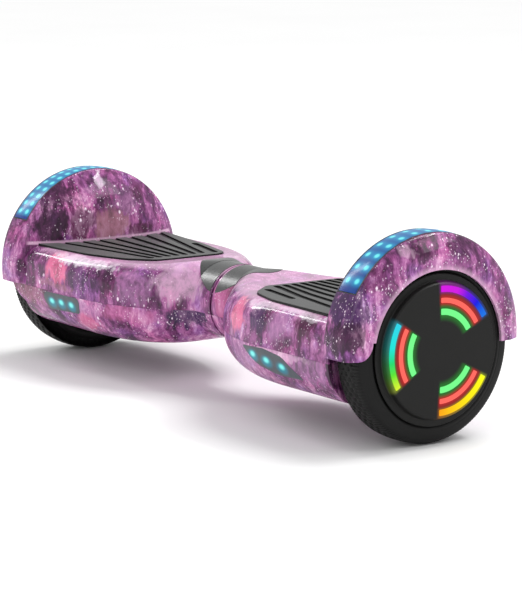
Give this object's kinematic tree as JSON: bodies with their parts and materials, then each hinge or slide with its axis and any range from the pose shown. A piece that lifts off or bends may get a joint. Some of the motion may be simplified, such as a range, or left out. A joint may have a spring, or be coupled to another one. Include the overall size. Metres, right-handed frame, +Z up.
{
  "type": "self balancing hoverboard",
  "caption": "Two-wheeled self balancing hoverboard: two shells hinged about a centre pivot, hub-motor wheels, foot pads, lit fenders and wheel discs.",
  "frame": {"origin": "on the ground, below the middle of the board", "axes": "+X along the wheel axle towards the board's right end, -Y towards the headlights, +Z up"},
  "size_m": [0.584, 0.19, 0.183],
  "materials": {
    "shell_print": "printed space pattern under clear gloss",
    "pad_rubber": "matt moulded rubber",
    "trim_grey": "satin dark grey",
    "black_plastic": "satin black",
    "tyre_rubber": "matt tread rubber",
    "disc_black": "fine matt black",
    "blue_light_lens": "lit blue lens",
    "led_strip": "lit cyan lamps",
    "headlight_lens": "smoked lens",
    "headlight_led": "lit cyan lamps",
    "wheel_light": "lit coloured bars",
    "casting": "as-cast aluminium",
    "steel": "ground steel",
    "dark_steel": "black oxide steel",
    "bronze": "sintered bronze",
    "copper_windings": "enamelled copper on steel laminations; density set near a wound stator's",
    "magnet": "nickel-plated magnets",
    "circuit_board": "green solder mask",
    "cells": "blue sleeve over steel-cased cells; density near a cell's",
    "soft_black": "soft black rubber",
    "cable": "braided sleeve"
  },
  "bodies": {
    "left_half": {"left_top_shell": "shell_print", "left_bottom_shell": "shell_print", "left_foot_pad": "pad_rubber", "left_neck_trim": "trim_grey", "left_fender_light_tray": "black_plastic", "left_fender_light_board": "led_strip", "left_fender_light_lens": "blue_light_lens", "left_headlight_lens": "headlight_lens", "left_headlight_board": "headlight_led", "left_frame": "casting", "left_axle_clamp": "casting", "left_frame_bolts": "dark_steel", "left_shell_screws": "dark_steel", "left_gyro_board": "circuit_board", "left_stator": "copper_windings", "left_axle": "steel", "pivot_shaft": "steel", "pivot_retainers": "dark_steel", "cable_harness": "cable", "battery_pack": "cells"},
    "right_half": {"right_top_shell": "shell_print", "right_bottom_shell": "shell_print", "right_foot_pad": "pad_rubber", "right_neck_trim": "trim_grey", "right_fender_light_tray": "black_plastic", "right_fender_light_board": "led_strip", "right_fender_light_lens": "blue_light_lens", "right_headlight_lens": "headlight_lens", "right_headlight_board": "headlight_led", "right_frame": "casting", "right_axle_clamp": "casting", "right_frame_bolts": "dark_steel", "right_shell_screws": "dark_steel", "right_gyro_board": "circuit_board", "right_stator": "copper_windings", "right_axle": "steel", "pivot_bushes": "bronze", "main_board": "circuit_board", "power_switch": "black_plastic", "charge_port": "black_plastic"},
    "left_wheel": {"left_tyre": "tyre_rubber", "left_rotor_drum": "casting", "left_motor_cover": "casting", "left_magnet_ring": "magnet", "left_wheel_disc": "disc_black", "left_wheel_lights": "wheel_light", "left_wheel_light_board": "circuit_board", "left_bearings": "steel"},
    "right_wheel": {"right_tyre": "tyre_rubber", "right_rotor_drum": "casting", "right_motor_cover": "casting", "right_magnet_ring": "magnet", "right_wheel_disc": "disc_black", "right_wheel_lights": "wheel_light", "right_wheel_light_board": "circuit_board", "right_bearings": "steel"},
    "power_button": {"power_button": "black_plastic"},
    "charge_cap": {"charge_cap": "soft_black"},
    "left_plungers": {"left_pad_plungers": "soft_black"},
    "right_plungers": {"right_pad_plungers": "soft_black"}
  },
  "joints": [
    {"name": "centre_pivot", "type": "hinge", "parent": "left_half", "child": "right_half", "pos_m": [0, 0, 0.0825], "axis": [1, 0, 0], "range_deg": [-12, 12]},
    {"name": "left_wheel_spin", "type": "hinge", "parent": "left_half", "child": "left_wheel", "pos_m": [-0.26, 0, 0.0825], "axis": [1, 0, 0], "continuous": true},
    {"name": "right_wheel_spin", "type": "hinge", "parent": "right_half", "child": "right_wheel", "pos_m": [0.26, 0, 0.0825], "axis": [1, 0, 0], "continuous": true},
    {"name": "power_button_press", "type": "slide", "parent": "right_half", "child": "power_button", "axis": [0, -1, 0], "range_m": [0, 0.0015], "stiffness_N_per_m": 400},
    {"name": "charge_cap_open", "type": "hinge", "parent": "right_half", "child": "charge_cap", "pos_m": [0.202, 0.0909, 0.0977], "axis": [1, 0, 0], "range_deg": [0, 110]},
    {"name": "left_foot_switch", "type": "slide", "parent": "left_half", "child": "left_plungers", "axis": [0, 0, -1], "range_m": [0, 0.0015], "stiffness_N_per_m": 600},
    {"name": "right_foot_switch", "type": "slide", "parent": "right_half", "child": "right_plungers", "axis": [0, 0, -1], "range_m": [0, 0.0015], "stiffness_N_per_m": 600}
  ]
}
